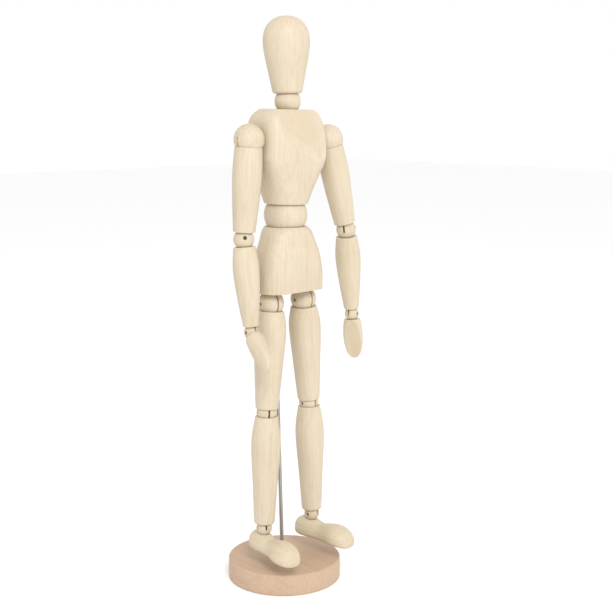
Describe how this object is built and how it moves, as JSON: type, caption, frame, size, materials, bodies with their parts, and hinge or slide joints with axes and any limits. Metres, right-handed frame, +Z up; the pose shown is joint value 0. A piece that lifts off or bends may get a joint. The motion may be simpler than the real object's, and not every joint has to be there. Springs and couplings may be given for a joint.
{
  "type": "artist mannequin",
  "caption": "Jointed wooden artist's figure on a round stand, with spring-held ball joints, held up by a thin steel rod",
  "frame": {"origin": "centre of the stand's flat underside", "axes": "+Z up, the figure faces -Y, and its right side is at -X"},
  "size_m": [0.1462, 0.1032, 0.5],
  "materials": {
    "figure_wood": "satin, fine straight grain",
    "foot_wood": "satin, fine grain",
    "stand_wood": "satin, open grain",
    "rod_steel": "satin",
    "pin_steel": "satin",
    "spring_steel": "drawn wire"
  },
  "bodies": {
    "stand": {"base_disc": "stand_wood", "support_rod": "rod_steel"},
    "pelvis": {"pelvis": "figure_wood", "right_hip_spring": "spring_steel", "left_hip_spring": "spring_steel"},
    "waist_spring": {"waist_spring": "spring_steel"},
    "waist_ball": {"waist_ball": "figure_wood"},
    "chest": {"chest": "figure_wood", "shoulder_spring": "spring_steel"},
    "neck_spring": {"neck_spring": "spring_steel"},
    "neck_ball": {"neck_ball": "figure_wood"},
    "head": {"head": "figure_wood"},
    "right_shoulder_ball": {"right_shoulder_ball": "figure_wood", "right_shoulder_pin": "pin_steel"},
    "right_upper_arm": {"right_upper_arm": "figure_wood", "right_upper_arm_spring": "spring_steel"},
    "right_elbow_ball": {"right_elbow_ball": "figure_wood", "right_elbow_pin": "pin_steel"},
    "right_forearm": {"right_forearm": "figure_wood", "right_forearm_spring": "spring_steel"},
    "right_wrist_ball": {"right_wrist_ball": "figure_wood", "right_wrist_pin": "pin_steel"},
    "right_hand": {"right_hand": "figure_wood", "right_hand_spring": "spring_steel"},
    "left_shoulder_ball": {"left_shoulder_ball": "figure_wood", "left_shoulder_pin": "pin_steel"},
    "left_upper_arm": {"left_upper_arm": "figure_wood", "left_upper_arm_spring": "spring_steel"},
    "left_elbow_ball": {"left_elbow_ball": "figure_wood", "left_elbow_pin": "pin_steel"},
    "left_forearm": {"left_forearm": "figure_wood", "left_forearm_spring": "spring_steel"},
    "left_wrist_ball": {"left_wrist_ball": "figure_wood", "left_wrist_pin": "pin_steel"},
    "left_hand": {"left_hand": "figure_wood", "left_hand_spring": "spring_steel"},
    "right_hip_ball": {"right_hip_ball": "figure_wood", "right_hip_pin": "pin_steel"},
    "right_thigh": {"right_thigh": "figure_wood", "right_thigh_spring": "spring_steel"},
    "right_knee_ball": {"right_knee_ball": "figure_wood", "right_knee_pin": "pin_steel"},
    "right_shin": {"right_shin": "figure_wood", "right_shin_spring": "spring_steel"},
    "right_ankle_ball": {"right_ankle_ball": "figure_wood", "right_ankle_pin": "pin_steel"},
    "right_foot": {"right_foot": "foot_wood", "right_foot_spring": "spring_steel"},
    "left_hip_ball": {"left_hip_ball": "figure_wood", "left_hip_pin": "pin_steel"},
    "left_thigh": {"left_thigh": "figure_wood", "left_thigh_spring": "spring_steel"},
    "left_knee_ball": {"left_knee_ball": "figure_wood", "left_knee_pin": "pin_steel"},
    "left_shin": {"left_shin": "figure_wood", "left_shin_spring": "spring_steel"},
    "left_ankle_ball": {"left_ankle_ball": "figure_wood", "left_ankle_pin": "pin_steel"},
    "left_foot": {"left_foot": "foot_wood", "left_foot_spring": "spring_steel"}
  },
  "joints": [
    {"name": "stand_turn", "type": "hinge", "parent": "stand", "child": "pelvis", "pos_m": [0, 0.0023, 0], "axis": [-0.0183, 0.0166, 0.9997], "continuous": true},
    {"name": "waist_turn", "type": "hinge", "parent": "pelvis", "child": "waist_spring", "pos_m": [0, -0.003, 0.331], "axis": [0, 0, 1], "range_deg": [-90, 90], "deforming": ["waist_spring"]},
    {"name": "waist_lean", "type": "hinge", "parent": "waist_spring", "child": "waist_ball", "pos_m": [0, -0.003, 0.331], "axis": [0, 1, 0], "range_deg": [-2, 13], "deforming": ["waist_spring"]},
    {"name": "waist_bow", "type": "hinge", "parent": "waist_ball", "child": "chest", "pos_m": [0, -0.003, 0.331], "axis": [1, 0, 0], "range_deg": [-30, 35], "deforming": ["waist_spring"]},
    {"name": "head_turn", "type": "hinge", "parent": "chest", "child": "neck_spring", "pos_m": [0.00153, -0.00436, 0.42828], "axis": [0, 0, 1], "range_deg": [-90, 90], "deforming": ["neck_spring"]},
    {"name": "head_tilt", "type": "hinge", "parent": "neck_spring", "child": "neck_ball", "pos_m": [0.00153, -0.00436, 0.42828], "axis": [0, 1, 0], "range_deg": [-40, 40], "deforming": ["neck_spring"]},
    {"name": "head_nod", "type": "hinge", "parent": "neck_ball", "child": "head", "pos_m": [0.00153, -0.00436, 0.42828], "axis": [1, 0, 0], "range_deg": [-40, 45], "deforming": ["neck_spring"]},
    {"name": "right_shoulder_swing", "type": "hinge", "parent": "chest", "child": "right_shoulder_ball", "pos_m": [-0.04427, -0.00772, 0.39684], "axis": [-0.9999, -0.0002, 0.0157], "range_deg": [-60, 170], "deforming": ["shoulder_spring"]},
    {"name": "right_shoulder_raise", "type": "hinge", "parent": "right_shoulder_ball", "child": "right_upper_arm", "pos_m": [-0.04427, -0.00772, 0.39684], "axis": [0, 1, 0], "range_deg": [0, 90], "deforming": ["right_upper_arm_spring"]},
    {"name": "right_elbow_turn", "type": "hinge", "parent": "right_upper_arm", "child": "right_elbow_ball", "pos_m": [-0.04866, -0.00494, 0.313], "axis": [-0.0523, 0.0331, -0.9981], "range_deg": [-25, 90], "deforming": ["right_upper_arm_spring"]},
    {"name": "right_elbow_bend", "type": "hinge", "parent": "right_elbow_ball", "child": "right_forearm", "pos_m": [-0.04866, -0.00494, 0.313], "axis": [0.5149, 0.8569, -0.0225], "range_deg": [-6, 60], "deforming": ["right_forearm_spring"]},
    {"name": "right_wrist_turn", "type": "hinge", "parent": "right_forearm", "child": "right_wrist_ball", "pos_m": [-0.04589, -0.01092, 0.23348], "axis": [0.0348, -0.0749, -0.9966], "range_deg": [-60, 90], "deforming": ["right_forearm_spring"]},
    {"name": "right_wrist_bend", "type": "hinge", "parent": "right_wrist_ball", "child": "right_hand", "pos_m": [-0.04589, -0.01092, 0.23348], "axis": [0.9979, -0.0147, -0.0624], "range_deg": [-30, 60], "deforming": ["right_hand_spring"]},
    {"name": "left_shoulder_swing", "type": "hinge", "parent": "chest", "child": "left_shoulder_ball", "pos_m": [0.04632, -0.0077, 0.39542], "axis": [-0.9999, -0.0002, 0.0157], "range_deg": [-60, 170], "deforming": ["shoulder_spring"]},
    {"name": "left_shoulder_raise", "type": "hinge", "parent": "left_shoulder_ball", "child": "left_upper_arm", "pos_m": [0.04632, -0.0077, 0.39542], "axis": [0, -1, 0], "range_deg": [-10, 90], "deforming": ["left_upper_arm_spring"]},
    {"name": "left_elbow_turn", "type": "hinge", "parent": "left_upper_arm", "child": "left_elbow_ball", "pos_m": [0.06635, -0.01012, 0.31388], "axis": [-0.2384, 0.0288, 0.9707], "range_deg": [-90, 90], "deforming": ["left_upper_arm_spring"]},
    {"name": "left_elbow_bend", "type": "hinge", "parent": "left_elbow_ball", "child": "left_forearm", "pos_m": [0.06635, -0.01012, 0.31388], "axis": [0.5352, -0.8391, 0.0967], "range_deg": [-60, 60], "deforming": ["left_forearm_spring"]},
    {"name": "left_wrist_turn", "type": "hinge", "parent": "left_forearm", "child": "left_wrist_ball", "pos_m": [0.07799, -0.00626, 0.23503], "axis": [-0.1459, -0.0483, 0.9881], "range_deg": [-90, 90], "deforming": ["left_forearm_spring"]},
    {"name": "left_wrist_bend", "type": "hinge", "parent": "left_wrist_ball", "child": "left_hand", "pos_m": [0.07799, -0.00626, 0.23503], "axis": [0.2581, -0.966, 0.013], "range_deg": [-60, 60], "deforming": ["left_hand_spring"]},
    {"name": "right_hip_turn", "type": "hinge", "parent": "pelvis", "child": "right_hip_ball", "pos_m": [-0.0188, -0.005, 0.2552], "axis": [0, 0, -1], "range_deg": [-20, 45], "deforming": ["right_hip_spring"]},
    {"name": "right_hip_bend", "type": "hinge", "parent": "right_hip_ball", "child": "right_thigh", "pos_m": [-0.0188, -0.005, 0.2552], "axis": [-0.9945, 0.1045, 0], "range_deg": [-10, 70], "deforming": ["right_thigh_spring"]},
    {"name": "right_knee_turn", "type": "hinge", "parent": "right_thigh", "child": "right_knee_ball", "pos_m": [-0.02437, -0.005, 0.15856], "axis": [-0.0576, 0, -0.9983], "range_deg": [-45, 45], "deforming": ["right_thigh_spring"]},
    {"name": "right_knee_bend", "type": "hinge", "parent": "right_knee_ball", "child": "right_shin", "pos_m": [-0.02437, -0.005, 0.15856], "axis": [0.9054, -0.4225, -0.0406], "range_deg": [-35, 15], "deforming": ["right_shin_spring"]},
    {"name": "right_ankle_turn", "type": "hinge", "parent": "right_shin", "child": "right_ankle_ball", "pos_m": [-0.02733, -0.00408, 0.05271], "axis": [-0.0279, 0.0087, -0.9996], "range_deg": [-45, 45], "deforming": ["right_shin_spring"]},
    {"name": "right_ankle_bend", "type": "hinge", "parent": "right_ankle_ball", "child": "right_foot", "pos_m": [-0.02733, -0.00408, 0.05271], "axis": [0.9271, -0.3746, -0.0146], "range_deg": [-40, 14], "deforming": ["right_foot_spring"]},
    {"name": "left_hip_turn", "type": "hinge", "parent": "pelvis", "child": "left_hip_ball", "pos_m": [0.0188, -0.005, 0.2552], "axis": [0, 0, 1], "range_deg": [-20, 45], "deforming": ["left_hip_spring"]},
    {"name": "left_hip_bend", "type": "hinge", "parent": "left_hip_ball", "child": "left_thigh", "pos_m": [0.0188, -0.005, 0.2552], "axis": [-0.9976, -0.0698, 0], "range_deg": [-20, 70], "deforming": ["left_thigh_spring"]},
    {"name": "left_knee_turn", "type": "hinge", "parent": "left_thigh", "child": "left_knee_ball", "pos_m": [0.02791, -0.00248, 0.15886], "axis": [-0.0941, -0.0261, 0.9952], "range_deg": [-45, 45], "deforming": ["left_thigh_spring"]},
    {"name": "left_knee_bend", "type": "hinge", "parent": "left_knee_ball", "child": "left_shin", "pos_m": [0.02791, -0.00248, 0.15886], "axis": [0.9977, 0.0347, 0.0577], "range_deg": [-35, 38], "deforming": ["left_shin_spring"]},
    {"name": "left_ankle_turn", "type": "hinge", "parent": "left_shin", "child": "left_ankle_ball", "pos_m": [0.03012, -0.00414, 0.053], "axis": [-0.0209, 0.0157, 0.9997], "range_deg": [-45, 45], "deforming": ["left_shin_spring"]},
    {"name": "left_ankle_bend", "type": "hinge", "parent": "left_ankle_ball", "child": "left_foot", "pos_m": [0.03012, -0.00414, 0.053], "axis": [0.9816, 0.1908, 0.0088], "range_deg": [-40, 14], "deforming": ["left_foot_spring"]}
  ]
}
